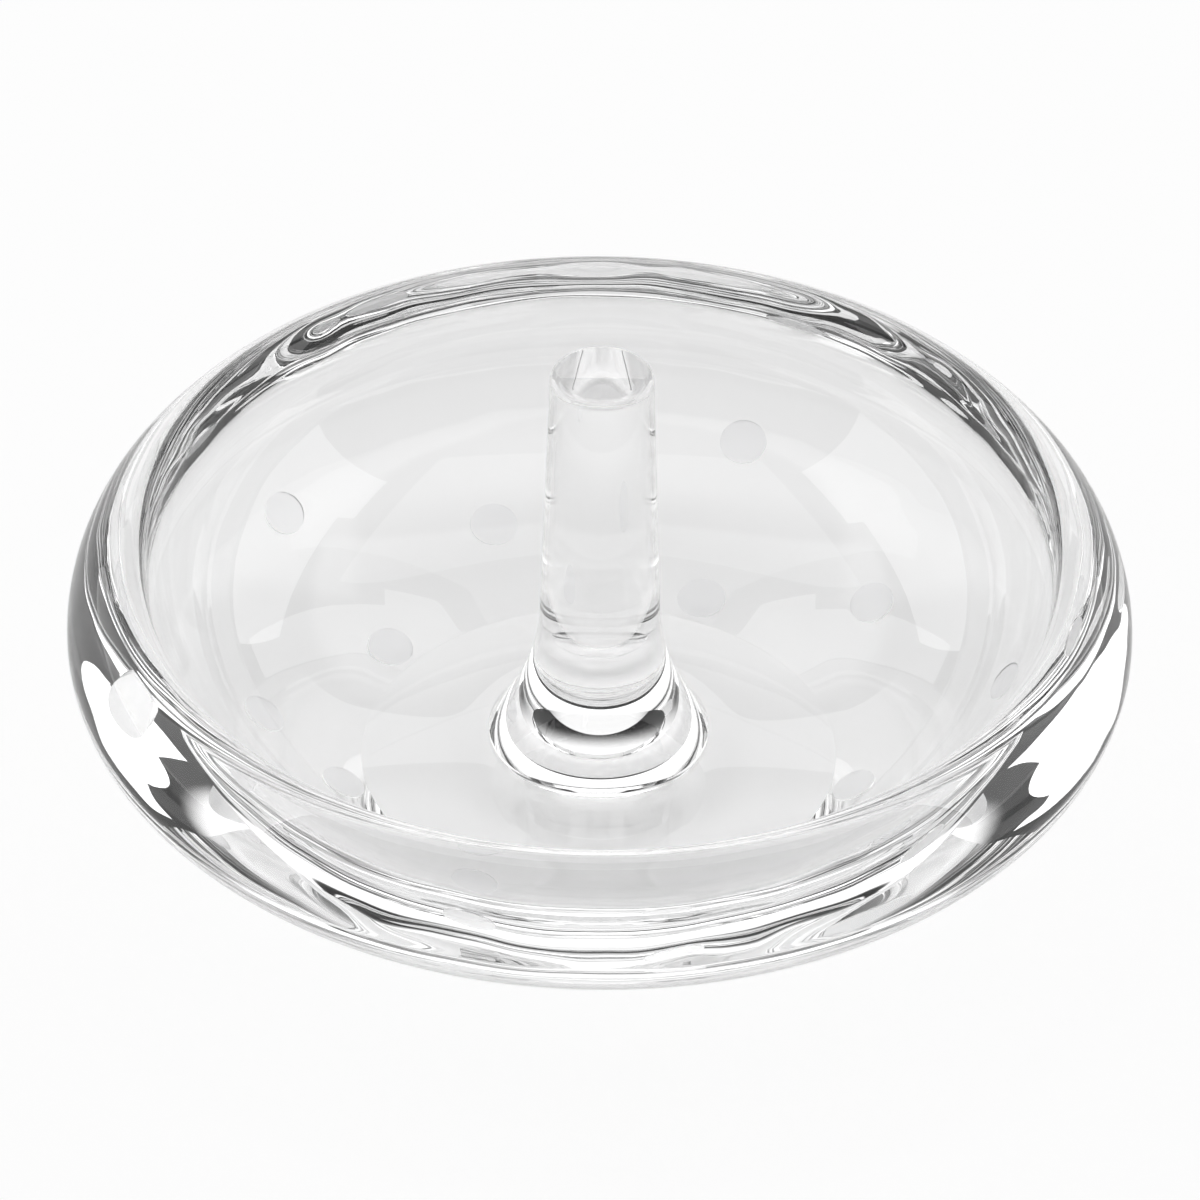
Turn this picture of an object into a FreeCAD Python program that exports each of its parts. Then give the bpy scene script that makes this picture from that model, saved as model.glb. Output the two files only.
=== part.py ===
import FreeCAD, Part
import math
import os

import Sketcher

# Ring dish in clear crystal: a thick round bowl, a tapered ring post with a flared foot,
# and the thin film of clear adhesive that bonds the foot to the floor of the bowl.
# Millimetres, +Z up, origin at the centre of the ground base that the dish stands on.

SIZES = [
    ("outer_radius", 51.0, "widest circle of the bowl"),
    ("equator_height", 20.6, "height of that circle above the base"),
    ("rim_height", 29.8, "top of the rounded rim"),
    ("base_radius", 23.6, "flat ground base"),
    ("wall_radius", 150.0, "curve of the underside, from base to shoulder"),
    ("lower_nose_radius", 5.5, "turn of the shoulder below the widest circle"),
    ("upper_nose_radius", 12.0, "turn of the shoulder above the widest circle"),
    ("lip_radius", 2.4, "rounding of the rim"),
    ("bowl_radius", 23.0, "hollow of the bowl under the rim"),
    ("floor_radius", 80.0, "gentle hollow of the floor"),
    ("floor_height", 7.5, "flat seat in the middle of the floor"),
    ("seat_margin", 0.8, "flat seat outside the foot of the post"),
    ("film_thickness", 0.12, "adhesive between seat and foot"),
    ("film_inset", 0.05, "adhesive stays inside the edges of the foot's underside"),
    ("overall_height", 50.6, "top of the ring post"),
    ("post_top_radius", 4.9, "ring post at its top edge, before rounding"),
    ("post_taper_angle", 1.8, "slope of the post from plumb, in degrees"),
    ("post_edge_radius", 0.85, "rounding of the post's top edge"),
    ("flare_radius", 26.0, "sweep from the post into its foot"),
    ("foot_radius", 10.6, "foot of the post"),
    ("foot_edge_height", 0.45, "upright edge of the foot"),
    ("pocket_radius", 4.0, "shallow air pocket under the middle of the foot"),
    ("pocket_depth", 0.5, "depth of that pocket"),
    ("dot_radius", 2.45, "satin dots on the outside of the bowl"),
    ("etch_depth", 0.2, "how far the dots are etched into the wall"),
    ("upper_row_radius", 42.6, "row of dots under the shoulder, distance from the axis"),
    ("upper_dot_one_angle", 140.5, "first dot of that row, from +X about the axis, in degrees"),
    ("upper_dot_two_angle", 69.8, "second dot of that row"),
    ("upper_dot_three_angle", -1.0, "third dot of that row"),
    ("upper_dot_four_angle", -107.0, "fourth dot of that row"),
    ("upper_dot_five_angle", -146.4, "fifth dot of that row"),
    ("middle_row_radius", 34.0, "next row down"),
    ("middle_dot_one_angle", 108.7, "first dot of that row, from +X about the axis, in degrees"),
    ("middle_dot_two_angle", 35.6, "second dot of that row"),
    ("middle_dot_three_angle", 179.6, "third dot of that row"),
    ("middle_dot_four_angle", -109.5, "fourth dot of that row"),
    ("middle_dot_five_angle", -36.0, "fifth dot of that row"),
    ("lower_row_radius", 26.3, "row beside the base"),
    ("lower_dot_one_angle", 143.1, "first dot of that row, from +X about the axis, in degrees"),
    ("lower_dot_two_angle", 67.1, "second dot of that row"),
    ("lower_dot_three_angle", -13.3, "third dot of that row"),
    ("lower_dot_four_angle", -76.0, "fourth dot of that row"),
    ("lower_dot_five_angle", -166.0, "fifth dot of that row"),
]

doc = FreeCAD.newDocument("ring_dish")
sheet = doc.addObject("Spreadsheet::Sheet", "Sizes")
for row, (alias, number, note) in enumerate(SIZES, start=1):
    sheet.set(f"A{row}", alias)
    sheet.set(f"B{row}", str(number))
    sheet.setAlias(f"B{row}", alias)
    sheet.set(f"C{row}", note)
doc.recompute()


def size(alias):
    """Number in the sheet's cell of that name."""
    return float(sheet.get(alias))


def point(radius, height):
    """Point of a section sketch: distance from the axis, and height."""
    return FreeCAD.Vector(radius, height, 0.0)


def polar(centre, radius, angle):
    """Point on a circle of the section, at an angle in radians."""
    return centre + FreeCAD.Vector(math.cos(angle), math.sin(angle), 0.0) * radius


def bearing(centre, target):
    """Angle in radians from a centre to a point."""
    return math.atan2(target.y - centre.y, target.x - centre.x)


def circles_meet(first, first_radius, second, second_radius):
    """Crossing of two circles, on the right of the line from first to second."""
    span = second - first
    gap = span.Length
    along = (first_radius**2 - second_radius**2 + gap**2) / (2.0 * gap)
    across = math.sqrt(first_radius**2 - along**2)
    ahead = span / gap
    right = FreeCAD.Vector(ahead.y, -ahead.x, 0.0)
    return first + ahead * along + right * across


def arc(centre, radius, start, end):
    """Arc of the section, counter-clockwise from start to end."""
    circle = Part.Circle(centre, FreeCAD.Vector(0, 0, 1), radius)
    return Part.ArcOfCircle(circle, start, end)


def section_sketch(body, name):
    """Empty sketch on the body's own upright plane: across is X, up is Z."""
    plane = [item for item in body.Origin.OriginFeatures if item.Role == "XZ_Plane"][0]
    sketch = body.newObject("Sketcher::SketchObject", name)
    sketch.AttachmentSupport = [(plane, "")]
    sketch.MapMode = "FlatFace"
    return sketch


def constrain(sketch, kind, *where):
    """Adds a constraint with no size of its own."""
    return sketch.addConstraint(Sketcher.Constraint(kind, *where))


def drive(sketch, kind, *where, initial, formula, name):
    """Adds a constraint whose size is bound to the sheet."""
    index = sketch.addConstraint(Sketcher.Constraint(kind, *where, initial))
    sketch.renameConstraint(index, name)
    sketch.setExpression(f"Constraints.{name}", formula)


def start_of(curve):
    """First point of a curve in a sketch."""
    return curve, 1


def end_of(curve):
    """Last point of a curve in a sketch."""
    return curve, 2


def centre_of(curve):
    """Centre of an arc in a sketch."""
    return curve, 3


def origin():
    """Origin of a sketch."""
    return -1, 1


def upright_axis():
    """Upright axis of a sketch."""
    return -2


# Section of the bowl

def bowl_section():
    """Centres and joints of the arcs that make the bowl's section."""
    shoulder = size("equator_height")
    lower = point(size("outer_radius") - size("lower_nose_radius"), shoulder)
    upper = point(size("outer_radius") - size("upper_nose_radius"), shoulder)
    base_edge = point(size("base_radius"), 0.0)
    wall = circles_meet(
        lower, size("wall_radius") - size("lower_nose_radius"), base_edge, size("wall_radius"))
    lip_rise = size("rim_height") - size("lip_radius") - shoulder
    lip_arm = size("upper_nose_radius") - size("lip_radius")
    lip = polar(upper, lip_arm, math.asin(lip_rise / lip_arm))
    seat_radius = size("foot_radius") + size("seat_margin")
    floor = point(seat_radius, size("floor_height") + size("floor_radius"))
    bowl = circles_meet(
        floor, size("floor_radius") - size("bowl_radius"), lip, size("bowl_radius") + size("lip_radius"))
    return {"lower": lower, "upper": upper, "wall": wall, "lip": lip, "floor": floor, "bowl": bowl,
            "base_edge": base_edge, "seat_edge": point(seat_radius, size("floor_height"))}


def make_bowl():
    """Solid of the bowl: one closed section turned about the upright axis."""
    body = doc.addObject("PartDesign::Body", "BowlBlank")
    sketch = section_sketch(body, "BowlSection")
    spot = bowl_section()
    wall_start = bearing(spot["wall"], spot["base_edge"])
    wall_end = bearing(spot["wall"], spot["lower"])
    lip_start = bearing(spot["upper"], spot["lip"])
    lip_end = bearing(spot["lip"], spot["bowl"])
    floor_end = bearing(spot["floor"], spot["bowl"])
    bowl_end = bearing(spot["bowl"], spot["lip"])
    axis_floor = point(0.0, size("floor_height"))
    axis_base = point(0.0, 0.0)
    straight_down = -math.pi / 2.0
    base_line = sketch.addGeometry(Part.LineSegment(axis_base, spot["base_edge"]))
    wall = sketch.addGeometry(arc(spot["wall"], size("wall_radius"), wall_start, wall_end))
    lower = sketch.addGeometry(arc(spot["lower"], size("lower_nose_radius"), wall_end, 0.0))
    upper = sketch.addGeometry(arc(spot["upper"], size("upper_nose_radius"), 0.0, lip_start))
    lip = sketch.addGeometry(arc(spot["lip"], size("lip_radius"), lip_start, lip_end))
    bowl = sketch.addGeometry(arc(spot["bowl"], size("bowl_radius"), floor_end, bowl_end))
    floor = sketch.addGeometry(arc(spot["floor"], size("floor_radius"), straight_down, floor_end))
    seat_line = sketch.addGeometry(Part.LineSegment(spot["seat_edge"], axis_floor))
    axis_line = sketch.addGeometry(Part.LineSegment(axis_floor, axis_base))

    constrain(sketch, "Coincident", *start_of(base_line), *origin())
    constrain(sketch, "Horizontal", base_line)
    constrain(sketch, "Coincident", *end_of(base_line), *start_of(wall))
    constrain(sketch, "Tangent", *end_of(wall), *start_of(lower))
    constrain(sketch, "Tangent", *end_of(lower), *start_of(upper))
    constrain(sketch, "Horizontal", *centre_of(lower), *end_of(lower))
    constrain(sketch, "Tangent", *end_of(upper), *start_of(lip))
    constrain(sketch, "Tangent", *end_of(lip), *end_of(bowl))
    constrain(sketch, "Tangent", *start_of(bowl), *end_of(floor))
    constrain(sketch, "Tangent", *start_of(floor), *start_of(seat_line))
    constrain(sketch, "Horizontal", seat_line)
    constrain(sketch, "Coincident", *end_of(seat_line), *start_of(axis_line))
    constrain(sketch, "Coincident", *end_of(axis_line), *start_of(base_line))
    constrain(sketch, "PointOnObject", *start_of(axis_line), upright_axis())

    drive(sketch, "DistanceX", *origin(), *end_of(base_line),
          initial=size("base_radius"), formula="Sizes.base_radius", name="base_radius")
    drive(sketch, "DistanceX", *origin(), *end_of(lower),
          initial=size("outer_radius"), formula="Sizes.outer_radius", name="outer_radius")
    drive(sketch, "DistanceY", *origin(), *end_of(lower),
          initial=size("equator_height"), formula="Sizes.equator_height", name="equator_height")
    drive(sketch, "DistanceY", *origin(), *centre_of(lip),
          initial=spot["lip"].y, formula="Sizes.rim_height - Sizes.lip_radius", name="lip_centre_height")
    drive(sketch, "DistanceY", *origin(), *end_of(seat_line),
          initial=size("floor_height"), formula="Sizes.floor_height", name="floor_height")
    drive(sketch, "DistanceX", *origin(), *start_of(seat_line),
          initial=spot["seat_edge"].x, formula="Sizes.foot_radius + Sizes.seat_margin", name="seat_radius")
    for curve, alias in ((wall, "wall_radius"), (lower, "lower_nose_radius"), (upper, "upper_nose_radius"),
                         (lip, "lip_radius"), (bowl, "bowl_radius"), (floor, "floor_radius")):
        drive(sketch, "Radius", curve, initial=size(alias), formula=f"Sizes.{alias}", name=alias)

    turned = body.newObject("PartDesign::Revolution", "BowlTurned")
    turned.Profile = sketch
    turned.ReferenceAxis = (sketch, ["V_Axis"])
    turned.Angle = 360.0
    doc.recompute()
    return body


# Ring post

def make_post():
    """Solid of the post: pocket in the underside, upright edge, sweep, straight taper, rounded top."""
    body = doc.addObject("PartDesign::Body", "ring_post")
    sketch = section_sketch(body, "PostSection")
    taper = math.radians(size("post_taper_angle"))
    foot_bottom = size("floor_height") + size("film_thickness")
    edge_top = point(size("foot_radius"), foot_bottom + size("foot_edge_height"))
    top_edge = point(size("post_top_radius"), size("overall_height"))
    outward = FreeCAD.Vector(math.cos(taper), math.sin(taper), 0.0)
    downhill = FreeCAD.Vector(math.sin(taper), -math.cos(taper), 0.0)
    rail = top_edge + outward * size("flare_radius")
    reach = (edge_top - rail).dot(downhill)
    aside = (edge_top - rail).dot(outward)
    slide = reach - math.sqrt(size("flare_radius")**2 - aside**2)
    flare_centre = rail + downhill * slide
    taper_end = top_edge + downhill * slide
    flare_start = bearing(flare_centre, taper_end)
    flare_end = bearing(flare_centre, edge_top)
    pocket_top = foot_bottom + size("pocket_depth")
    axis_pocket = point(0.0, pocket_top)
    pocket_corner = point(size("pocket_radius"), pocket_top)
    pocket_mouth = point(size("pocket_radius"), foot_bottom)
    foot_corner = point(size("foot_radius"), foot_bottom)
    axis_top = point(0.0, size("overall_height"))
    pocket_line = sketch.addGeometry(Part.LineSegment(axis_pocket, pocket_corner))
    pocket_wall = sketch.addGeometry(Part.LineSegment(pocket_corner, pocket_mouth))
    foot_line = sketch.addGeometry(Part.LineSegment(pocket_mouth, foot_corner))
    edge_line = sketch.addGeometry(Part.LineSegment(foot_corner, edge_top))
    flare = sketch.addGeometry(arc(flare_centre, size("flare_radius"), flare_start, flare_end))
    taper_line = sketch.addGeometry(Part.LineSegment(taper_end, top_edge))
    top_line = sketch.addGeometry(Part.LineSegment(top_edge, axis_top))
    axis_line = sketch.addGeometry(Part.LineSegment(axis_top, axis_pocket))

    constrain(sketch, "Horizontal", pocket_line)
    constrain(sketch, "Coincident", *end_of(pocket_line), *start_of(pocket_wall))
    constrain(sketch, "Vertical", pocket_wall)
    constrain(sketch, "Coincident", *end_of(pocket_wall), *start_of(foot_line))
    constrain(sketch, "Horizontal", foot_line)
    constrain(sketch, "Coincident", *end_of(foot_line), *start_of(edge_line))
    constrain(sketch, "Vertical", edge_line)
    constrain(sketch, "Coincident", *end_of(edge_line), *end_of(flare))
    constrain(sketch, "Tangent", *start_of(flare), *start_of(taper_line))
    constrain(sketch, "Coincident", *end_of(taper_line), *start_of(top_line))
    constrain(sketch, "Horizontal", top_line)
    constrain(sketch, "Coincident", *end_of(top_line), *start_of(axis_line))
    constrain(sketch, "Coincident", *end_of(axis_line), *start_of(pocket_line))
    constrain(sketch, "PointOnObject", *start_of(axis_line), upright_axis())
    constrain(sketch, "PointOnObject", *end_of(axis_line), upright_axis())

    drive(sketch, "DistanceY", *origin(), *start_of(foot_line), initial=foot_bottom,
          formula="Sizes.floor_height + Sizes.film_thickness", name="foot_bottom")
    drive(sketch, "DistanceX", *origin(), *end_of(pocket_wall), initial=size("pocket_radius"),
          formula="Sizes.pocket_radius", name="pocket_radius")
    drive(sketch, "DistanceY", *end_of(pocket_wall), *start_of(pocket_wall), initial=size("pocket_depth"),
          formula="Sizes.pocket_depth", name="pocket_depth")
    drive(sketch, "DistanceX", *origin(), *end_of(foot_line), initial=size("foot_radius"),
          formula="Sizes.foot_radius", name="foot_radius")
    drive(sketch, "DistanceY", *start_of(edge_line), *end_of(edge_line), initial=size("foot_edge_height"),
          formula="Sizes.foot_edge_height", name="foot_edge_height")
    drive(sketch, "Radius", flare, initial=size("flare_radius"),
          formula="Sizes.flare_radius", name="flare_radius")
    drive(sketch, "DistanceX", *origin(), *start_of(top_line), initial=size("post_top_radius"),
          formula="Sizes.post_top_radius", name="post_top_radius")
    drive(sketch, "DistanceY", *origin(), *start_of(top_line), initial=size("overall_height"),
          formula="Sizes.overall_height", name="overall_height")
    drive(sketch, "Angle", *start_of(axis_line), *end_of(taper_line), initial=taper,
          formula="Sizes.post_taper_angle * 1 deg", name="post_taper_angle")

    turned = body.newObject("PartDesign::Revolution", "PostTurned")
    turned.Profile = sketch
    turned.ReferenceAxis = (sketch, ["V_Axis"])
    turned.Angle = 360.0
    doc.recompute()

    rounded = body.newObject("PartDesign::Fillet", "PostTopRounded")
    rounded.Base = (turned, [circle_edge(turned.Shape, size("post_top_radius"), size("overall_height"))])
    rounded.setExpression("Radius", "Sizes.post_edge_radius")
    doc.recompute()
    body.Tip = rounded
    return body


def circle_edge(shape, radius, height):
    """Name of the round edge that is nearest to that radius and height."""
    def miss(number):
        box = shape.Edges[number - 1].BoundBox
        return abs(box.XMax - radius) + abs(box.ZMin - height) + abs(box.ZMax - height)
    return f"Edge{min(range(1, len(shape.Edges) + 1), key=miss)}"


# Adhesive under the foot

def make_film():
    """Flat ring of clear adhesive that fills the gap between the seat and the foot."""
    body = doc.addObject("PartDesign::Body", "bond_film")
    sketch = section_sketch(body, "FilmSection")
    inner = size("pocket_radius") + size("film_inset")
    outer = size("foot_radius") - size("film_inset")
    low = size("floor_height")
    high = low + size("film_thickness")
    corners = [point(inner, low), point(outer, low), point(outer, high), point(inner, high)]
    sides = []
    for index, corner in enumerate(corners):
        following = corners[(index + 1) % len(corners)]
        sides.append(sketch.addGeometry(Part.LineSegment(corner, following)))
    under, outside, over, inside = sides
    for side, following in zip(sides, sides[1:] + sides[:1]):
        constrain(sketch, "Coincident", *end_of(side), *start_of(following))
    constrain(sketch, "Horizontal", under)
    constrain(sketch, "Vertical", outside)
    constrain(sketch, "Horizontal", over)
    constrain(sketch, "Vertical", inside)
    drive(sketch, "DistanceX", *origin(), *start_of(under), initial=inner,
          formula="Sizes.pocket_radius + Sizes.film_inset", name="film_inner_radius")
    drive(sketch, "DistanceX", *origin(), *end_of(under), initial=outer,
          formula="Sizes.foot_radius - Sizes.film_inset", name="film_outer_radius")
    drive(sketch, "DistanceY", *origin(), *start_of(under), initial=low,
          formula="Sizes.floor_height", name="film_bottom")
    drive(sketch, "DistanceY", *start_of(outside), *end_of(outside), initial=size("film_thickness"),
          formula="Sizes.film_thickness", name="film_thickness")

    turned = body.newObject("PartDesign::Revolution", "FilmTurned")
    turned.Profile = sketch
    turned.ReferenceAxis = (sketch, ["V_Axis"])
    turned.Angle = 360.0
    doc.recompute()
    return body


# Satin dots

def wall_spot(radius):
    """Point of the curved underside at that distance from the axis, and its outward direction."""
    centre = bowl_section()["wall"]
    drop = math.sqrt(size("wall_radius")**2 - (radius - centre.x)**2)
    spot = point(radius, centre.y - drop)
    return spot, (spot - centre).normalize()


def dot_cutter(name, spot, outward, angle):
    """Short cylinder square to the wall, sunk half its height into it."""
    cutter = doc.addObject("Part::Cylinder", name)
    cutter.setExpression("Radius", "Sizes.dot_radius")
    cutter.setExpression("Height", "Sizes.dot_radius")
    turn = FreeCAD.Rotation(FreeCAD.Vector(0, 0, 1), angle)
    direction = turn.multVec(FreeCAD.Vector(outward.x, 0.0, outward.y))
    middle = turn.multVec(FreeCAD.Vector(spot.x, 0.0, spot.y))
    foot = middle - direction * (size("dot_radius") / 2.0)
    cutter.Placement = FreeCAD.Placement(foot, FreeCAD.Rotation(FreeCAD.Vector(0, 0, 1), direction))
    return cutter


def dot_cutters():
    """Cutters of all the dots, row by row, each at its own angle."""
    cutters = []
    for row in ("upper", "middle", "lower"):
        spot, outward = wall_spot(size(f"{row}_row_radius"))
        for dot in ("one", "two", "three", "four", "five"):
            angle = size(f"{row}_dot_{dot}_angle")
            cutters.append(dot_cutter(f"{row}_dot_{dot}", spot, outward, angle))
    return cutters


def etch_dots(blank, cutters):
    """Bowl with every dot etched to the same depth below its surface."""
    core = doc.addObject("Part::Offset", "EtchFloor")
    core.Source = blank
    core.setExpression("Value", "-Sizes.etch_depth")
    pattern = doc.addObject("Part::MultiFuse", "DotPattern")
    pattern.Shapes = cutters
    tool = doc.addObject("Part::Cut", "DotTool")
    tool.Base = pattern
    tool.Tool = core
    etched = doc.addObject("Part::Cut", "dish")
    etched.Base = blank
    etched.Tool = tool
    doc.recompute()
    return etched


# Build, test and write

bowl_blank = make_bowl()
cutters = dot_cutters()
dish = etch_dots(bowl_blank, cutters)
ring_post = make_post()
bond_film = make_film()
nodes = {"dish": dish, "ring_post": ring_post, "bond_film": bond_film}
for name, node in nodes.items():
    node.Label = name
doc.recompute()

for item in doc.Objects:
    if "Invalid" in item.State or "Error" in item.State:
        raise ValueError(f"{item.Name} did not rebuild: {item.State}")
for name, node in nodes.items():
    if node.Shape.isNull() or not node.Shape.isValid() or len(node.Shape.Solids) != 1:
        raise ValueError(f"{name} is not one sound solid")

etched_away = bowl_blank.Shape.Volume - dish.Shape.Volume
expected = len(cutters) * math.pi * size("dot_radius")**2 * size("etch_depth")
if not 0.8 * expected < etched_away < 1.3 * expected:
    raise ValueError(f"dots removed {etched_away:.1f} mm3, expected near {expected:.1f}")

os.makedirs("parts", exist_ok=True)
for name, node in nodes.items():
    node.Shape.exportStep(f"parts/{name}.step")
    box = node.Shape.optimalBoundingBox()
    print(f"{name}: {node.Shape.Volume:.1f} mm3, z {box.ZMin:.2f} to {box.ZMax:.2f}, x to {box.XMax:.2f}")
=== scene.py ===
# %% [markdown]
# A ring dish in clear crystal: a thick round bowl with a rolled rim, and a tapered post for rings that
# is bonded to the floor of the bowl. Satin dots are etched into the outside of the wall, so they are
# seen through the glass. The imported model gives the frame: where each piece is, and how big.

# %% Load the frame
import math

import bpy
from mathutils import Matrix, Vector


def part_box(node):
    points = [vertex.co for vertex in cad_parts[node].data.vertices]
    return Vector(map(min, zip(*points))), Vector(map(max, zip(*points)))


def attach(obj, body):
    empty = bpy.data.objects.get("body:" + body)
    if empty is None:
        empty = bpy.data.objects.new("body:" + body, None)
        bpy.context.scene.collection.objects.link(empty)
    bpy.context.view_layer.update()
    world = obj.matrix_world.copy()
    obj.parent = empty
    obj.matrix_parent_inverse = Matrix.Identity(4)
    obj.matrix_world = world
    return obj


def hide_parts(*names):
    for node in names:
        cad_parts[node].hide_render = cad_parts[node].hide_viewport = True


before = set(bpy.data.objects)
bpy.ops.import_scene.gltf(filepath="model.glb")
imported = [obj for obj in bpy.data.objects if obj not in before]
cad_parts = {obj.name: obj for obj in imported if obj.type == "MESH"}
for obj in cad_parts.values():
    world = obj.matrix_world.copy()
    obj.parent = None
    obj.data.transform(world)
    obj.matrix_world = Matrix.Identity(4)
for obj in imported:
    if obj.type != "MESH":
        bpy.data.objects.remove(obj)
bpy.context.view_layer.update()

dish_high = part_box("dish")[1]
post_low, post_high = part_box("ring_post")
film_low, film_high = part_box("bond_film")

# %% [markdown]
# The photograph was taken with a long lens from about 38 degrees above the table. A long lens keeps
# the ellipses of the rim and of the foot nearly parallel, so the focal length matters as much as the
# height of the camera. The picture is square, and is rolled by about half a degree.

# %% Camera
CAMERA_DISTANCE = 1.0
CAMERA_ELEVATION = math.radians(38.49)
CAMERA_ROLL = math.radians(0.55)
CAMERA_REACH = 20.0
AIM_HEIGHT = 0.02343
SENSOR_WIDTH = 36.0
FRAME_HEIGHT_AT_OBJECT = 0.11476

camera_data = bpy.data.cameras.new("photo_camera")
camera_data.sensor_width = SENSOR_WIDTH
camera_data.lens = SENSOR_WIDTH * CAMERA_DISTANCE / FRAME_HEIGHT_AT_OBJECT
camera_data.clip_end = CAMERA_REACH
camera = bpy.data.objects.new("photo_camera", camera_data)
bpy.context.scene.collection.objects.link(camera)
look = Vector((0.0, math.cos(CAMERA_ELEVATION), -math.sin(CAMERA_ELEVATION)))
right = Vector((1.0, 0.0, 0.0))
up = right.cross(look)
level = Matrix((right, up, -look)).transposed()
camera.location = Vector((0.0, 0.0, AIM_HEIGHT)) - look * CAMERA_DISTANCE
camera.rotation_euler = (level @ Matrix.Rotation(CAMERA_ROLL, 3, "Z")).to_euler()
bpy.context.scene.camera = camera
print("lens", round(camera_data.lens, 1), "mm")

# %% [markdown]
# Pressed glass is never quite true, so a very faint ripple bends what it shows. The thick rim, which is
# finished in the flame, is wavier than the hollow: its wave grows with the distance from the axis. The
# ripple could be modelled, but it is far too shallow for a mesh, so a Bump node makes it. More than one
# material has it, so it is a node group, with a dial for its scale and one for the wave in the rim.

# %% Mask of the rim
RIM_WAVE_START = 0.036
RIM_WAVE_FULL = 0.047


def add_rim_mask(group, place):
    """Adds a mask to a node group: 0 over the hollow, 1 in the rim, by the distance from the axis."""
    flatten = group.nodes.new("ShaderNodeVectorMath")
    flatten.operation = "MULTIPLY"
    flatten.inputs[1].default_value = (1.0, 1.0, 0.0)
    radius = group.nodes.new("ShaderNodeVectorMath")
    radius.operation = "LENGTH"
    near_rim = group.nodes.new("ShaderNodeMapRange")
    near_rim.interpolation_type = "SMOOTHSTEP"
    near_rim.inputs["From Min"].default_value = RIM_WAVE_START
    near_rim.inputs["From Max"].default_value = RIM_WAVE_FULL
    group.links.new(place.outputs["Object"], flatten.inputs[0])
    group.links.new(flatten.outputs["Vector"], radius.inputs[0])
    group.links.new(radius.outputs["Value"], near_rim.inputs["Value"])
    return near_rim.outputs["Result"]


print("rim wave from", RIM_WAVE_START, "to", RIM_WAVE_FULL)

# %% Ripple of pressed glass
RIM_WAVE_SCALE = 80.0
RIPPLE_DETAIL = 1.0
RIPPLE_ROUGHNESS = 0.3


def make_ripple_group():
    """Node group: a slow, shallow waviness in object space, put out as a height."""
    group = bpy.data.node_groups.new("pressed_ripple", "ShaderNodeTree")
    group.interface.new_socket("Scale", in_out="INPUT", socket_type="NodeSocketFloat")
    group.interface.new_socket("Rim Wave", in_out="INPUT", socket_type="NodeSocketFloat")
    group.interface.new_socket("Height", in_out="OUTPUT", socket_type="NodeSocketFloat")
    entry = group.nodes.new("NodeGroupInput")
    leave = group.nodes.new("NodeGroupOutput")
    place = group.nodes.new("ShaderNodeTexCoord")
    waves = group.nodes.new("ShaderNodeTexNoise")
    waves.inputs["Detail"].default_value = RIPPLE_DETAIL
    waves.inputs["Roughness"].default_value = RIPPLE_ROUGHNESS
    group.links.new(place.outputs["Object"], waves.inputs["Vector"])
    group.links.new(entry.outputs["Scale"], waves.inputs["Scale"])
    rim_noise = group.nodes.new("ShaderNodeTexNoise")
    rim_noise.inputs["Scale"].default_value = RIM_WAVE_SCALE
    rim_noise.inputs["Detail"].default_value = RIPPLE_DETAIL
    group.links.new(place.outputs["Object"], rim_noise.inputs["Vector"])
    rim_share = group.nodes.new("ShaderNodeMath")
    rim_share.operation = "MULTIPLY"
    group.links.new(add_rim_mask(group, place), rim_share.inputs[0])
    group.links.new(entry.outputs["Rim Wave"], rim_share.inputs[1])
    total = group.nodes.new("ShaderNodeMath")
    total.operation = "MULTIPLY_ADD"
    group.links.new(rim_noise.outputs["Fac"], total.inputs[0])
    group.links.new(rim_share.outputs["Value"], total.inputs[1])
    group.links.new(waves.outputs["Fac"], total.inputs[2])
    group.links.new(total.outputs["Value"], leave.inputs["Height"])
    return group


ripple_group = make_ripple_group()
print("group", ripple_group.name)

# %% [markdown]
# Clear crystal is one shader: a Principled BSDF that lets all light through and bends it. It has no
# colour and no roughness of its own, so the ripple and the light around it make all of its looks.

# %% Polished crystal
CRYSTAL_IOR = 1.52
CRYSTAL_RIPPLE_SCALE = 60.0
CRYSTAL_RIM_WAVE = 24.0
RIPPLE_DEPTH = 0.00001
CLEAR = (1.0, 1.0, 1.0, 1.0)


def new_glass(name, roughness, ior):
    """Clear glass with plain values on the shader's own sockets."""
    material = bpy.data.materials.new(name)
    material.use_nodes = True
    shader = material.node_tree.nodes["Principled BSDF"]
    shader.inputs["Base Color"].default_value = CLEAR
    shader.inputs["Roughness"].default_value = roughness
    shader.inputs["IOR"].default_value = ior
    shader.inputs["Transmission Weight"].default_value = 1.0
    return material


def add_ripple(material, scale, rim_wave):
    """Feeds the ripple to a material's Normal through a Bump node; the rim wave is in ripple depths."""
    nodes, links = material.node_tree.nodes, material.node_tree.links
    ripple = nodes.new("ShaderNodeGroup")
    ripple.node_tree = ripple_group
    ripple.inputs["Scale"].default_value = scale
    ripple.inputs["Rim Wave"].default_value = rim_wave
    bump = nodes.new("ShaderNodeBump")
    bump.inputs["Strength"].default_value = 1.0
    bump.inputs["Distance"].default_value = RIPPLE_DEPTH
    links.new(ripple.outputs["Height"], bump.inputs["Height"])
    links.new(bump.outputs["Normal"], nodes["Principled BSDF"].inputs["Normal"])


polished_crystal = new_glass("polished_crystal", 0.0, CRYSTAL_IOR)
add_ripple(polished_crystal, CRYSTAL_RIPPLE_SCALE, CRYSTAL_RIM_WAVE)
print("material", polished_crystal.name)

# %% [markdown]
# The dots are satin: acid has bitten the glass a little and left it rough, so they scatter light
# instead of passing a clear image. A fine grain in the roughness keeps them from looking printed.

# %% Satin dots
SATIN_TINT = (0.92, 0.92, 0.93, 1.0)
SATIN_ROUGHNESS = 0.35
GRAIN_SCALE = 9000.0
GRAIN_LEAST = 0.28
GRAIN_MOST = 0.45

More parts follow.
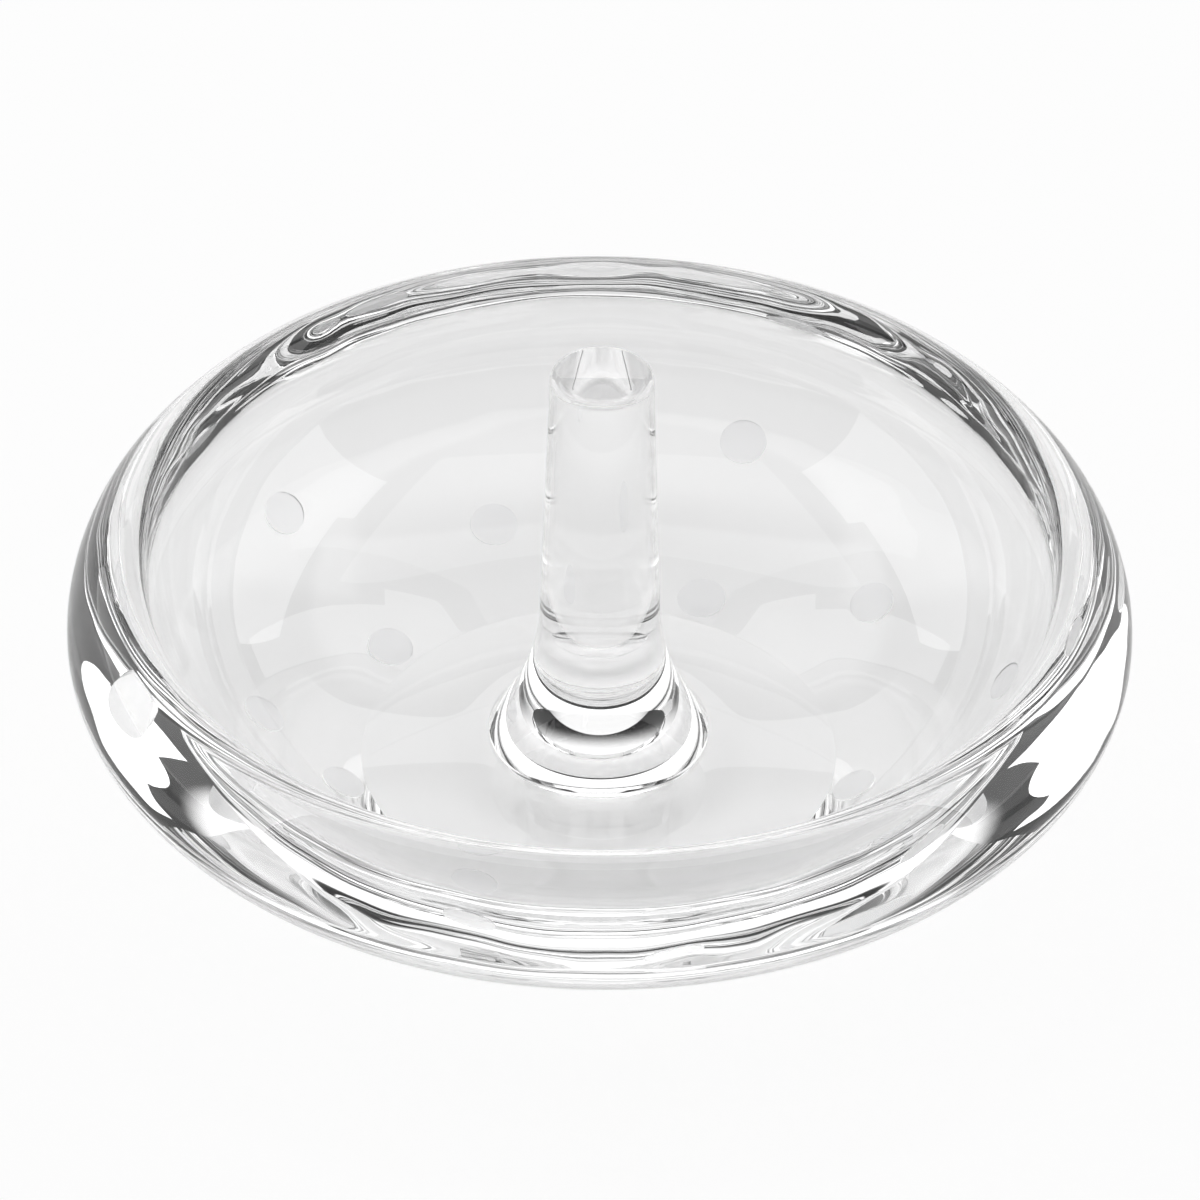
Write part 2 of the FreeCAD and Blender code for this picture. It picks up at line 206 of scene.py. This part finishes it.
satin_dots = new_glass("satin_dots", SATIN_ROUGHNESS, CRYSTAL_IOR)
satin_nodes, satin_links = satin_dots.node_tree.nodes, satin_dots.node_tree.links
satin_shader = satin_nodes["Principled BSDF"]
satin_shader.inputs["Base Color"].default_value = SATIN_TINT
grain_place = satin_nodes.new("ShaderNodeTexCoord")
grain = satin_nodes.new("ShaderNodeTexNoise")
grain.inputs["Scale"].default_value = GRAIN_SCALE
grain_range = satin_nodes.new("ShaderNodeMapRange")
grain_range.inputs["To Min"].default_value = GRAIN_LEAST
grain_range.inputs["To Max"].default_value = GRAIN_MOST
satin_links.new(grain_place.outputs["Object"], grain.inputs["Vector"])
satin_links.new(grain.outputs["Fac"], grain_range.inputs["Value"])
satin_links.new(grain_range.outputs["Result"], satin_shader.inputs["Roughness"])
print("material", satin_dots.name)

# %% [markdown]
# Where the adhesive wets both faces there is no air, so light goes straight on from the post into the
# bowl. Those hidden faces let light through unbent: Alpha is near 0. A trace of haze is left, because
# cured adhesive is never perfectly clear.

# %% Wetted faces and the adhesive
WETTED_COLOUR = (0.9, 0.9, 0.9, 1.0)
HAZE_SCALE = 400.0
HAZE_FROM = 0.45
HAZE_TO = 0.8
HAZE_MOST = 0.03
ADHESIVE_ROUGHNESS = 0.02
ADHESIVE_IOR = 1.49
ADHESIVE_RIPPLE_SCALE = 300.0


def make_wetted():
    """Hidden face in optical contact: nearly all light passes straight through."""
    material = bpy.data.materials.new("wetted_glass")
    material.use_nodes = True
    nodes, links = material.node_tree.nodes, material.node_tree.links
    shader = nodes["Principled BSDF"]
    shader.inputs["Base Color"].default_value = WETTED_COLOUR
    place = nodes.new("ShaderNodeTexCoord")
    haze = nodes.new("ShaderNodeTexNoise")
    haze.inputs["Scale"].default_value = HAZE_SCALE
    amount = nodes.new("ShaderNodeMapRange")
    amount.inputs["From Min"].default_value = HAZE_FROM
    amount.inputs["From Max"].default_value = HAZE_TO
    amount.inputs["To Max"].default_value = HAZE_MOST
    links.new(place.outputs["Object"], haze.inputs["Vector"])
    links.new(haze.outputs["Fac"], amount.inputs["Value"])
    links.new(amount.outputs["Result"], shader.inputs["Alpha"])
    return material


wetted_glass = make_wetted()
clear_adhesive = new_glass("clear_adhesive", ADHESIVE_ROUGHNESS, ADHESIVE_IOR)
add_ripple(clear_adhesive, ADHESIVE_RIPPLE_SCALE, rim_wave=0.0)
print("materials", wetted_glass.name, clear_adhesive.name)

# %% [markdown]
# Every piece is round, so each is drawn as half a section and spun about the upright axis. A section
# is drawn like with a pen: it starts as one vertex, a straight stretch is an extrude, and a round
# stretch is that same vertex spun about the centre of the curve.

# %% A pen for half sections
SEED_SIZE = 0.001
FEWEST_STEPS = 6
MERGE_DISTANCE = 0.000002


def start_section(name, start):
    """One loose vertex in edit mode, at a distance from the axis and a height."""
    bpy.ops.object.select_all(action="DESELECT")
    bpy.ops.mesh.primitive_plane_add(size=SEED_SIZE)
    piece = bpy.context.object
    piece.name = name
    piece.data.name = name
    bpy.ops.object.mode_set(mode="EDIT")
    bpy.ops.mesh.select_all(action="SELECT")
    bpy.ops.mesh.merge(type="CENTER")
    bpy.ops.transform.translate(value=(start.x, 0.0, start.y))
    return piece


def draw_line(start, end):
    """Straight stretch: extrudes the live vertex from start to end, and returns the end."""
    step = end - start
    bpy.ops.mesh.extrude_region_move(TRANSFORM_OT_translate={"value": (step.x, 0.0, step.y)})
    return end


def draw_arc(start, centre, turn, spacing):
    """Round stretch: spins the live vertex about a centre by an angle, and returns its end."""
    arm = start - centre
    steps = max(FEWEST_STEPS, math.ceil(abs(turn) * arm.length / spacing))
    bpy.ops.mesh.spin(steps=steps, angle=turn, center=(centre.x, 0.0, centre.y), axis=(0.0, 1.0, 0.0))
    return centre + Matrix.Rotation(turn, 2) @ arm


def turn_section(piece, steps, crease):
    """Spins the finished half section about the upright axis and closes it."""
    bpy.ops.mesh.select_all(action="SELECT")
    bpy.ops.mesh.spin(steps=steps, angle=2.0 * math.pi, center=(0.0, 0.0, 0.0), axis=(0.0, 0.0, 1.0))
    bpy.ops.mesh.select_all(action="SELECT")
    bpy.ops.mesh.remove_doubles(threshold=MERGE_DISTANCE)
    bpy.ops.mesh.normals_make_consistent(inside=False)
    bpy.ops.object.mode_set(mode="OBJECT")
    bpy.ops.object.shade_smooth_by_angle(angle=crease)
    print(piece.name, len(piece.data.polygons), "faces")


print("pen with at least", FEWEST_STEPS, "steps to an arc")


# %% Arithmetic of the section
def bearing(centre, target):
    """Angle from a centre to a point, counter-clockwise from straight out."""
    return math.atan2(target.y - centre.y, target.x - centre.x)


def circles_meet(first, first_radius, second, second_radius):
    """Crossing of two circles on the right of the line from first to second."""
    span = second - first
    gap = span.length
    along = (first_radius**2 - second_radius**2 + gap**2) / (2.0 * gap)
    across = math.sqrt(first_radius**2 - along**2)
    ahead = span / gap
    return first + ahead * along + Vector((ahead.y, -ahead.x)) * across


def rounded(point):
    """Plain numbers of a point, short enough to print."""
    return tuple(round(value, 4) for value in point)


sample_meeting = circles_meet(Vector((0.0, 0.0)), 3.0, Vector((5.0, 0.0)), 4.0)
print("circles of radius 3 and 4, 5 apart, meet at", rounded(sample_meeting))

# %% [markdown]
# The bowl's section is seven curves in a row: the flat base, the long slope of the underside, a tight
# turn below the widest circle and a slower one above it, the rolled lip, the hollow under the rim, and
# the nearly flat floor. Each curve leaves the last one without a corner, except at the base.

# %% Sizes of the bowl
OUTER_RADIUS = dish_high.x
RIM_HEIGHT = dish_high.z
FLOOR_HEIGHT = film_low.z
EQUATOR_HEIGHT = 0.0206
BASE_RADIUS = 0.0236
WALL_RADIUS = 0.150
LOWER_NOSE_RADIUS = 0.0055
UPPER_NOSE_RADIUS = 0.0120
LIP_RADIUS = 0.0024
BOWL_RADIUS = 0.0230
FLOOR_RADIUS = 0.0800
SEAT_MARGIN = 0.0008
FOOT_RADIUS = post_high.x
FILM_OUTER = film_high.x
FILM_INSET = FOOT_RADIUS - FILM_OUTER
POCKET_RADIUS = 0.0040
FILM_INNER = POCKET_RADIUS + FILM_INSET

lower_nose = Vector((OUTER_RADIUS - LOWER_NOSE_RADIUS, EQUATOR_HEIGHT))
upper_nose = Vector((OUTER_RADIUS - UPPER_NOSE_RADIUS, EQUATOR_HEIGHT))
base_edge = Vector((BASE_RADIUS, 0.0))
wall = circles_meet(lower_nose, WALL_RADIUS - LOWER_NOSE_RADIUS, base_edge, WALL_RADIUS)
lip_arm = UPPER_NOSE_RADIUS - LIP_RADIUS
lip_angle = math.asin((RIM_HEIGHT - LIP_RADIUS - EQUATOR_HEIGHT) / lip_arm)
lip = upper_nose + Vector((math.cos(lip_angle), math.sin(lip_angle))) * lip_arm
seat_edge = Vector((FOOT_RADIUS + SEAT_MARGIN, FLOOR_HEIGHT))
floor_hollow = seat_edge + Vector((0.0, FLOOR_RADIUS))
bowl_hollow = circles_meet(floor_hollow, FLOOR_RADIUS - BOWL_RADIUS, lip, BOWL_RADIUS + LIP_RADIUS)
print("lip at", rounded(lip), "hollow at", rounded(bowl_hollow))

# %% Bowl
ROUND_STEPS = 288
BOWL_CREASE = math.radians(20.0)
WALL_SPACING = 0.0009
LOWER_NOSE_SPACING = 0.0003
UPPER_NOSE_SPACING = 0.0004
LIP_SPACING = 0.0002
HOLLOW_SPACING = 0.0005
FLOOR_SPACING = 0.0010


def draw_outside(start):
    """Underside and shoulder, from the edge of the base up to the lip."""
    wall_turn = bearing(wall, lower_nose) - bearing(wall, base_edge)
    tip = draw_arc(start, wall, wall_turn, WALL_SPACING)
    tip = draw_arc(tip, lower_nose, -bearing(wall, lower_nose), LOWER_NOSE_SPACING)
    return draw_arc(tip, upper_nose, lip_angle, UPPER_NOSE_SPACING)


lip_turn = bearing(lip, bowl_hollow) - lip_angle
hollow_turn = bearing(floor_hollow, bowl_hollow) - bearing(bowl_hollow, lip)
floor_turn = -math.pi / 2.0 - bearing(floor_hollow, bowl_hollow)
dish = start_section("dish", Vector((0.0, 0.0)))
tip = draw_line(Vector((0.0, 0.0)), base_edge)
tip = draw_outside(tip)
tip = draw_arc(tip, lip, lip_turn, LIP_SPACING)
tip = draw_arc(tip, bowl_hollow, hollow_turn, HOLLOW_SPACING)
tip = draw_arc(tip, floor_hollow, floor_turn, FLOOR_SPACING)
for ring in (FILM_OUTER, FILM_INNER, 0.0):
    tip = draw_line(tip, Vector((ring, FLOOR_HEIGHT)))
turn_section(dish, ROUND_STEPS, BOWL_CREASE)
dish.data.materials.append(polished_crystal)
dish.data.materials.append(wetted_glass)

# %% [markdown]
# The dots are etched to an even depth, on a wall that curves two ways. So the cutter is a set of short
# cylinders, square to the wall, from which a slightly smaller bowl has been taken away: what is left
# is a thin button for each dot. Taking the buttons out of the bowl leaves the dots, and the satin
# goes with them, because the boolean carries the cutter's material over.

# %% Where the dots are
DOT_RADIUS = 0.00245
ETCH_DEPTH = 0.0002
DOT_ROWS = [
    (0.0426, (140.5, 69.8, -1.0, -107.0, -146.4)),
    (0.0340, (108.7, 35.6, 179.6, -109.5, -36.0)),
    (0.0263, (143.1, 67.1, -13.3, -76.0, -166.0)),
]


def wall_place(radius):
    """Point of the underside at that distance from the axis, and the way it faces."""
    drop = math.sqrt(WALL_RADIUS**2 - (radius - wall.x)**2)
    spot = Vector((radius, wall.y - drop))
    return spot, (spot - wall).normalized()


print(sum(len(angles) for radius, angles in DOT_ROWS), "dots in", len(DOT_ROWS), "rows")

# %% Dot cutters
CUTTER_SIDES = 96


def add_dot_cutter(radius, angle):
    """Cylinder square to the wall, for one dot."""
    spot, outward = wall_place(radius)
    around = Matrix.Rotation(math.radians(angle), 3, "Z")
    centre = around @ Vector((spot.x, 0.0, spot.y))
    direction = around @ Vector((outward.x, 0.0, outward.y))
    bpy.ops.object.select_all(action="DESELECT")
    bpy.ops.mesh.primitive_cylinder_add(
        vertices=CUTTER_SIDES, radius=DOT_RADIUS, depth=2.0 * DOT_RADIUS, location=centre,
        rotation=direction.to_track_quat("Z", "Y").to_euler())
    cutter = bpy.context.object
    bpy.ops.object.transform_apply(location=True, rotation=True, scale=True)
    return cutter


etch_core = start_section("etch_core", Vector((0.0, ETCH_DEPTH)))
core_start = wall + (base_edge - wall) * ((WALL_RADIUS - ETCH_DEPTH) / WALL_RADIUS)
tip = draw_line(Vector((0.0, ETCH_DEPTH)), core_start)
tip = draw_outside(tip)
tip = draw_line(tip, Vector((0.0, tip.y)))
turn_section(etch_core, ROUND_STEPS // 2, BOWL_CREASE)
cutters = [add_dot_cutter(radius, angle) for radius, angles in DOT_ROWS for angle in angles]
bpy.ops.object.select_all(action="DESELECT")
for cutter in cutters:
    cutter.select_set(True)
bpy.context.view_layer.objects.active = cutters[0]
bpy.ops.object.join()
dot_cutter = cutters[0]
dot_cutter.data.materials.append(satin_dots)
etch_core.data.materials.append(satin_dots)
print("cutter", len(dot_cutter.data.polygons), "faces")


# %% Etch the dots
def cut(piece, tool):
    """Takes a tool away from a piece, and carries the tool's material over to the cut."""
    bpy.ops.object.select_all(action="DESELECT")
    piece.select_set(True)
    bpy.context.view_layer.objects.active = piece
    modifier = piece.modifiers.new("cut", "BOOLEAN")
    modifier.operation = "DIFFERENCE"
    modifier.solver = "EXACT"
    modifier.material_mode = "TRANSFER"
    modifier.object = tool
    bpy.ops.object.modifier_apply(modifier=modifier.name)


cut(dot_cutter, etch_core)
cut(dish, dot_cutter)
for tool in (etch_core, dot_cutter):
    bpy.data.objects.remove(tool)
bpy.ops.object.shade_smooth_by_angle(angle=BOWL_CREASE)
print("dish", len(dish.data.polygons), "faces,", [slot.name for slot in dish.material_slots])

# %% [markdown]
# The post tapers by a couple of degrees, so rings slide on and stop where they fit, and sweeps out into
# a foot. Its top edge is rounded. Under the foot is a shallow pocket, where the adhesive doesn't reach.
# The sweep is one arc that leaves the taper without a corner and ends at the edge of the foot.

# %% Sizes of the post
POST_TOP_RADIUS = 0.0049
POST_TAPER = math.radians(1.8)
POST_EDGE_RADIUS = 0.00085
FLARE_RADIUS = 0.0260
FOOT_EDGE_HEIGHT = 0.00045
POCKET_DEPTH = 0.0005
FOOT_BOTTOM = post_low.z
POST_TOP = post_high.z

outward = Vector((math.cos(POST_TAPER), math.sin(POST_TAPER)))
downhill = Vector((math.sin(POST_TAPER), -math.cos(POST_TAPER)))
top_corner = Vector((POST_TOP_RADIUS, POST_TOP))
foot_edge = Vector((FOOT_RADIUS, FOOT_BOTTOM + FOOT_EDGE_HEIGHT))
rail = top_corner + outward * FLARE_RADIUS
reach = (foot_edge - rail).dot(downhill)
aside = (foot_edge - rail).dot(outward)
flare_start = reach - math.sqrt(FLARE_RADIUS**2 - aside**2)
flare = rail + downhill * flare_start
taper_end = top_corner + downhill * flare_start
round_turn = math.pi / 2.0 - POST_TAPER
round_set_back = POST_EDGE_RADIUS * math.tan(round_turn / 2.0)
round_start = top_corner + downhill * round_set_back
round_centre = round_start - outward * POST_EDGE_RADIUS
print("flare starts at", rounded(taper_end))

# %% Ring post
POST_STEPS = 192
POST_CREASE = math.radians(24.0)
FLARE_SPACING = 0.0004
POST_EDGE_SPACING = 0.0001

pocket_top = Vector((0.0, FOOT_BOTTOM + POCKET_DEPTH))
flare_turn = (bearing(flare, taper_end) - bearing(flare, foot_edge)) % (2.0 * math.pi) - 2.0 * math.pi
ring_post = start_section("ring_post", pocket_top)
tip = draw_line(pocket_top, Vector((POCKET_RADIUS, FOOT_BOTTOM + POCKET_DEPTH)))
for ring in (POCKET_RADIUS, FILM_INNER, FILM_OUTER, FOOT_RADIUS):
    tip = draw_line(tip, Vector((ring, FOOT_BOTTOM)))
tip = draw_line(tip, foot_edge)
tip = draw_arc(tip, flare, flare_turn, FLARE_SPACING)
tip = draw_line(tip, round_start)
tip = draw_arc(tip, round_centre, round_turn, POST_EDGE_SPACING)
tip = draw_line(tip, Vector((0.0, POST_TOP)))
turn_section(ring_post, POST_STEPS, POST_CREASE)
ring_post.data.materials.append(polished_crystal)
ring_post.data.materials.append(wetted_glass)

# %% [markdown]
# The adhesive is a flat ring that fills the gap between the foot and the floor of the bowl. A torus or
# a flattened tube would have round sides, so it is drawn as a small oblong and spun like the rest.

# %% Adhesive film
bond_film = start_section("bond_film", Vector((FILM_INNER, FLOOR_HEIGHT)))
tip = Vector((FILM_INNER, FLOOR_HEIGHT))
for corner in ((FILM_OUTER, FLOOR_HEIGHT), (FILM_OUTER, FOOT_BOTTOM), (FILM_INNER, FOOT_BOTTOM),
               (FILM_INNER, FLOOR_HEIGHT)):
    tip = draw_line(tip, Vector(corner))
turn_section(bond_film, POST_STEPS, POST_CREASE)
bond_film.data.materials.append(clear_adhesive)
bond_film.data.materials.append(wetted_glass)

# %% Wet the faces that meet the adhesive
SAME_HEIGHT = 0.000005
NEARLY_LEVEL = 0.9


def wet(piece, height):
    """Gives the level faces at one height, inside the ring of adhesive, the wetted finish."""
    wetted = 0
    for face in piece.data.polygons:
        middle = face.center
        radius = math.hypot(middle.x, middle.y)
        at_height = abs(middle.z - height) < SAME_HEIGHT and abs(face.normal.z) > NEARLY_LEVEL
        if at_height and FILM_INNER < radius < FILM_OUTER:
            face.material_index = piece.data.materials.find("wetted_glass")
            wetted += 1
    print(piece.name, "wetted faces", wetted)


wet(dish, FLOOR_HEIGHT)
wet(ring_post, FOOT_BOTTOM)
wet(bond_film, FLOOR_HEIGHT)
wet(bond_film, FOOT_BOTTOM)

# %% [markdown]
# Glass has no colour of its own here: what it shows is the room. So the stage matters as much as the
# glass. The dish stands on a white table, which also glows a little for the camera, so that it is nearly
# white all over, as in the photograph. Glass shows that glow too, but less of it: there the table is
# mostly as bright as the light that reaches it, so the shade under the dish and the light that the foot
# gathers on the table both show.

# %% White table top
GLOW_FOR_CAMERA = 0.92
GLOW_THROUGH_GLASS = 0.15


def white_stage_material(name, colour):
    """Matt white that also glows: most for the camera, less where glass shows it."""
    material = bpy.data.materials.new(name)
    material.use_nodes = True
    nodes, links = material.node_tree.nodes, material.node_tree.links
    matt = nodes["Principled BSDF"]
    matt.inputs["Base Color"].default_value = (colour, colour, colour, 1.0)
    matt.inputs["Roughness"].default_value = 1.0
    matt.inputs["Specular IOR Level"].default_value = 0.0
    path = nodes.new("ShaderNodeLightPath")
    shares = []
    for ray, share in (("Is Camera Ray", GLOW_FOR_CAMERA), ("Is Glossy Ray", GLOW_THROUGH_GLASS),
                       ("Is Transmission Ray", GLOW_THROUGH_GLASS)):
        part = nodes.new("ShaderNodeMath")
        part.operation = "MULTIPLY"
        part.inputs[1].default_value = share
        links.new(path.outputs[ray], part.inputs[0])
        shares.append(part.outputs["Value"])
    glow = shares[0]
    for share in shares[1:]:
        larger = nodes.new("ShaderNodeMath")
        larger.operation = "MAXIMUM"
        links.new(glow, larger.inputs[0])
        links.new(share, larger.inputs[1])
        glow = larger.outputs["Value"]
    shine = nodes.new("ShaderNodeEmission")
    both = nodes.new("ShaderNodeMixShader")
    links.new(glow, both.inputs["Fac"])
    links.new(matt.outputs["BSDF"], both.inputs[1])
    links.new(shine.outputs["Emission"], both.inputs[2])
    links.new(both.outputs["Shader"], nodes["Material Output"].inputs["Surface"])
    return material


print("glow", GLOW_FOR_CAMERA, "for the camera,", GLOW_THROUGH_GLASS, "through glass")

# %% Floor
FLOOR_SIZE = 4.0
FLOOR_COLOUR = 0.92
AIR_UNDER_BASE = 0.0002

bpy.ops.object.select_all(action="DESELECT")
bpy.ops.mesh.primitive_plane_add(size=FLOOR_SIZE, location=(0.0, 0.0, -AIR_UNDER_BASE))
floor = bpy.context.object
floor.name = "floor"
floor.data.materials.append(white_stage_material("white_floor", FLOOR_COLOUR))
print("floor", floor.dimensions)

# %% [markdown]
# Lit panels stand upright on the left, on the right and behind, and one hangs overhead. The one behind
# fades out towards its sides, so that its edges don't show in the bowl. Over the front of each side panel
# is a narrow one: it fills the wide white patch on the flank of the dish, and behind it the dark gap is
# left open, because the swirls below that patch are images of it. A few point lamps would be simpler,
# but glass shows the shape of each lamp, so only large, even panels give these looks.

# %% Softbox helpers
def softbox(name, centre, facing, width, height, radiance):
    """Area lamp at a place, facing a direction, of an even brightness in which 1 is white."""
    lamp = bpy.data.lights.new(name, "AREA")
    lamp.shape = "RECTANGLE"
    lamp.size = width
    lamp.size_y = height
    lamp.energy = radiance * math.pi * width * height
    holder = bpy.data.objects.new(name, lamp)
    bpy.context.scene.collection.objects.link(holder)
    holder.location = centre
    holder.rotation_euler = Vector(facing).to_track_quat("-Z", "Y").to_euler()
    print(name, "radiance", radiance, "power", round(lamp.energy, 2))
    return lamp


def grade(lamp, axis, stops):
    """Lets a panel's brightness change along one axis: each stop is a place from 0 to 1 and a share."""
    lamp.use_nodes = True
    nodes, links = lamp.node_tree.nodes, lamp.node_tree.links
    place = nodes.new("ShaderNodeNewGeometry")
    split = nodes.new("ShaderNodeSeparateXYZ")
    ramp = nodes.new("ShaderNodeValToRGB")
    ramp.color_ramp.interpolation = "EASE"
    for where, _ in stops[1:-1]:
        ramp.color_ramp.elements.new(where)
    for element, (where, share) in zip(ramp.color_ramp.elements, stops):
        element.position = where
        element.color = (share, share, share, 1.0)
    links.new(place.outputs["Parametric"], split.inputs["Vector"])
    links.new(split.outputs[axis], ramp.inputs["Fac"])
    links.new(ramp.outputs["Color"], nodes["Emission"].inputs["Strength"])


print("a softbox with a radiance of 1 shows as white")

# %% Panels at the sides
PANEL_DISTANCE = 0.60
PANEL_HEIGHT = 0.545
PANEL_REAR = 0.62
UPPER_REAR = 0.05
UPPER_TOP = 0.64
RIGHT_FRONT = -0.16
LEFT_FRONT = -0.25
SIDE_RADIANCE = 1.61


def side_panel(name, side, front, rear, low, high):
    """Upright panel on one side, 1 for right and -1 for left, between two depths and two heights."""
    centre = (side * PANEL_DISTANCE, (front + rear) / 2.0, (low + high) / 2.0)
    softbox(name, centre, (-side, 0.0, 0.0), rear - front, high - low, SIDE_RADIANCE)


for name, side, front in (("softbox_right", 1.0, RIGHT_FRONT), ("softbox_left", -1.0, LEFT_FRONT)):
    side_panel(name, side, front, PANEL_REAR, 0.0, PANEL_HEIGHT)
    side_panel(name + "_upper", side, front, UPPER_REAR, PANEL_HEIGHT, UPPER_TOP)

# %% Panels behind and overhead
BACK_DISTANCE = 0.85
BACK_WIDTH = 1.30
BACK_HEIGHT = 0.71
BACK_FADE = ((0.0, 0.0), (0.3, 1.0), (0.7, 1.0), (1.0, 0.0))
BACK_RADIANCE = 1.01
TOP_HEIGHT = 1.00
TOP_WIDTH = 1.44
TOP_DEPTH = 1.00
TOP_RADIANCE = 0.72

back_centre = (0.0, BACK_DISTANCE, BACK_HEIGHT / 2.0)
back_lamp = softbox("softbox_back", back_centre, (0.0, -1.0, 0.0), BACK_WIDTH, BACK_HEIGHT, BACK_RADIANCE)
grade(back_lamp, "X", BACK_FADE)
softbox("softbox_top", (0.0, 0.0, TOP_HEIGHT), (0.0, 0.0, -1.0), TOP_WIDTH, TOP_DEPTH, TOP_RADIANCE)

# %% [markdown]
# Behind the panels the room is nearly black, and it stays so on the camera's side: the thin dark strands
# in the rim and along the edges of the glass are images of it. Only the upper rear of the room is lit,
# evenly and with soft edges, because gaps between panels there would show as patches in the foot.

# %% Room
DARK_ROOM = 0.02
REAR_FILL = 1.15
REAR_EDGE = (0.10, 0.18)
UPPER_EDGE = (0.63, 0.70)


def light_room(room):
    """Dark room whose upper rear is lit; each edge is where a direction goes from dark to lit."""
    room.use_nodes = True
    nodes, links = room.node_tree.nodes, room.node_tree.links
    place = nodes.new("ShaderNodeTexCoord")
    split = nodes.new("ShaderNodeSeparateXYZ")
    links.new(place.outputs["Generated"], split.inputs["Vector"])
    both = nodes.new("ShaderNodeMath")
    both.operation = "MULTIPLY"
    for slot, (axis, edge) in enumerate((("Y", REAR_EDGE), ("Z", UPPER_EDGE))):
        share = nodes.new("ShaderNodeMapRange")
        share.interpolation_type = "SMOOTHSTEP"
        share.inputs["From Min"].default_value = edge[0]
        share.inputs["From Max"].default_value = edge[1]
        links.new(split.outputs[axis], share.inputs["Value"])
        links.new(share.outputs["Result"], both.inputs[slot])
    level = nodes.new("ShaderNodeMapRange")
    level.inputs["To Min"].default_value = DARK_ROOM
    level.inputs["To Max"].default_value = REAR_FILL
    links.new(both.outputs["Value"], level.inputs["Value"])
    links.new(level.outputs["Result"], nodes["Background"].inputs["Strength"])
    nodes["Background"].inputs["Color"].default_value = (1.0, 1.0, 1.0, 1.0)


room = bpy.data.worlds.new("studio")
bpy.context.scene.world = room
light_room(room)
print("room", DARK_ROOM, "rear fill", REAR_FILL)

# %% [markdown]
# Light crosses many faces inside thick glass, so a ray may bounce more often than usual before it is
# given up. Filter Glossy is off, because it would blur away the light that the foot gathers on the table.

# %% How light is followed
LONGEST_PATH = 28
MOST_MIRRORINGS = 20
MOST_CLEAR_FACES = 32

scene = bpy.context.scene
scene.view_settings.view_transform = "Standard"
scene.cycles.blur_glossy = 0.0
scene.cycles.max_bounces = LONGEST_PATH
scene.cycles.transmission_bounces = LONGEST_PATH
scene.cycles.glossy_bounces = MOST_MIRRORINGS
scene.cycles.transparent_max_bounces = MOST_CLEAR_FACES
print("bounces", scene.cycles.max_bounces)

# %% [markdown]
# The three pieces take the place of the plain solids that they were drawn after, and all of them belong
# to the one body of the dish, because nothing moves.

# %% Hand over
for piece, node, slot in ((dish, "dish", "crystal"), (ring_post, "ring_post", "crystal"),
                          (bond_film, "bond_film", "adhesive")):
    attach(piece, "root")
    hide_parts(node)
